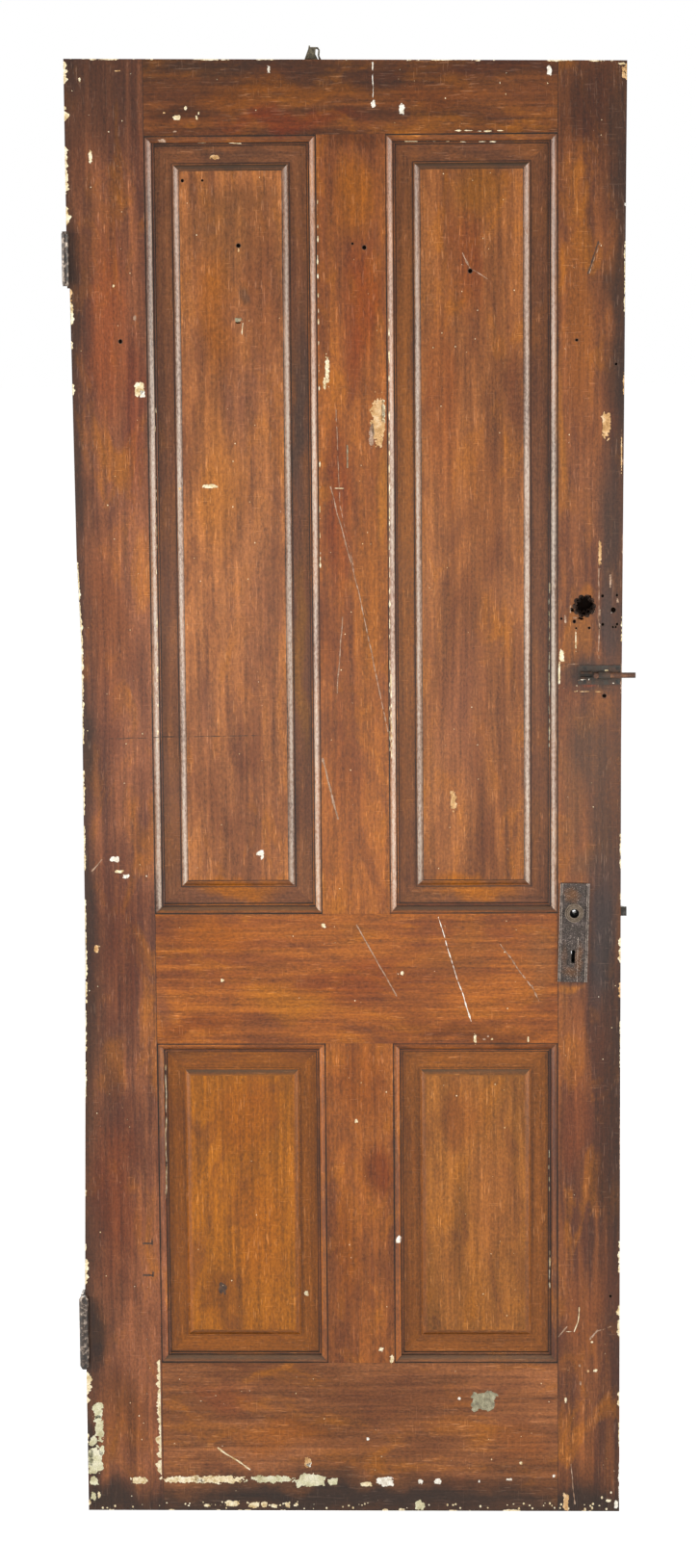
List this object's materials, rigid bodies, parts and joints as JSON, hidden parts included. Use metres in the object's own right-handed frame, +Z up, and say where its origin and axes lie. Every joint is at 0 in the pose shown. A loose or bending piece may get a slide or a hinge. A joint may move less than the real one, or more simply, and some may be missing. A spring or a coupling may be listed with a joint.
{
  "type": "interior door",
  "caption": "Old raised-panel interior door leaf with stuck mouldings, mortise lock with leaning plate, slide bolt and loose-joint hinges, in worn grained paint.",
  "frame": {"origin": "middle of the leaf's bottom edge, at the middle of its thickness", "axes": "+Z up along the leaf's height, +Y through its thickness towards the back, +X across its width towards the lock; the front faces -Y"},
  "size_m": [0.7832, 0.0497, 2.0511],
  "materials": {
    "grained_paint_on_pine": "crackled varnish over grained paint",
    "bare_pine": "bare end grain",
    "worn_cast_plate": "worn, with rust",
    "dark_iron": "dull",
    "painted_hinge_iron": "painted over and worn",
    "worn_steel": "dull",
    "brown_rod": "brown rust",
    "weathered_iron": "weathered, rusty"
  },
  "bodies": {
    "frame_side": {"upper_hinge_frame_leaf": "painted_hinge_iron", "lower_hinge_frame_leaf": "painted_hinge_iron", "upper_hinge_pin": "worn_steel", "lower_hinge_pin": "worn_steel"},
    "door": {"hinge_stile": "grained_paint_on_pine", "lock_stile": "grained_paint_on_pine", "top_rail": "grained_paint_on_pine", "lock_rail": "grained_paint_on_pine", "bottom_rail": "grained_paint_on_pine", "upper_muntin": "grained_paint_on_pine", "lower_muntin": "grained_paint_on_pine", "upper_left_panel": "grained_paint_on_pine", "upper_right_panel": "grained_paint_on_pine", "lower_left_panel": "grained_paint_on_pine", "lower_right_panel": "grained_paint_on_pine", "tenon_wedges": "bare_pine", "front_escutcheon": "worn_cast_plate", "front_escutcheon_screws": "worn_cast_plate", "lock_case": "dark_iron", "lock_cap": "dark_iron", "lock_cap_screw": "worn_steel", "lock_front": "dark_iron", "lock_front_screws": "dark_iron", "latch_spring": "worn_steel", "dead_bolt_spring": "worn_steel", "slide_bolt_plate": "dark_iron", "slide_bolt_screws": "worn_steel", "upper_hinge_door_leaf": "painted_hinge_iron", "upper_hinge_screws": "painted_hinge_iron", "lower_hinge_door_leaf": "painted_hinge_iron", "lower_hinge_screws": "painted_hinge_iron", "top_clip": "weathered_iron"},
    "hub": {"lock_hub": "dark_iron"},
    "latch": {"latch_bolt": "dark_iron"},
    "dead_bolt": {"dead_bolt": "dark_iron"},
    "slide_bolt": {"slide_bolt_rod": "brown_rod"}
  },
  "joints": [
    {"name": "door_swing", "type": "hinge", "parent": "frame_side", "child": "door", "pos_m": [-0.3825, -0.0245, 0], "axis": [0, 0, -1], "range_deg": [0, 170]},
    {"name": "hub_turn", "type": "hinge", "parent": "door", "child": "hub", "pos_m": [0.3105, 0, 0.8625], "axis": [0, -1, 0], "range_deg": [0, 35], "deforming": ["latch_spring"]},
    {"name": "latch_slide", "type": "slide", "parent": "door", "child": "latch", "axis": [1, 0, 0], "range_m": [-0.0088, 0], "deforming": ["latch_spring"]},
    {"name": "dead_bolt_throw", "type": "slide", "parent": "door", "child": "dead_bolt", "axis": [1, 0, 0], "range_m": [0, 0.012], "deforming": ["dead_bolt_spring"]},
    {"name": "slide_bolt_throw", "type": "slide", "parent": "door", "child": "slide_bolt", "axis": [1, 0, 0], "range_m": [-0.02, 0]}
  ],
  "couplings": [
    {"joint": "hub_turn", "follows": "latch_slide", "rad_per_m": -68.966}
  ]
}
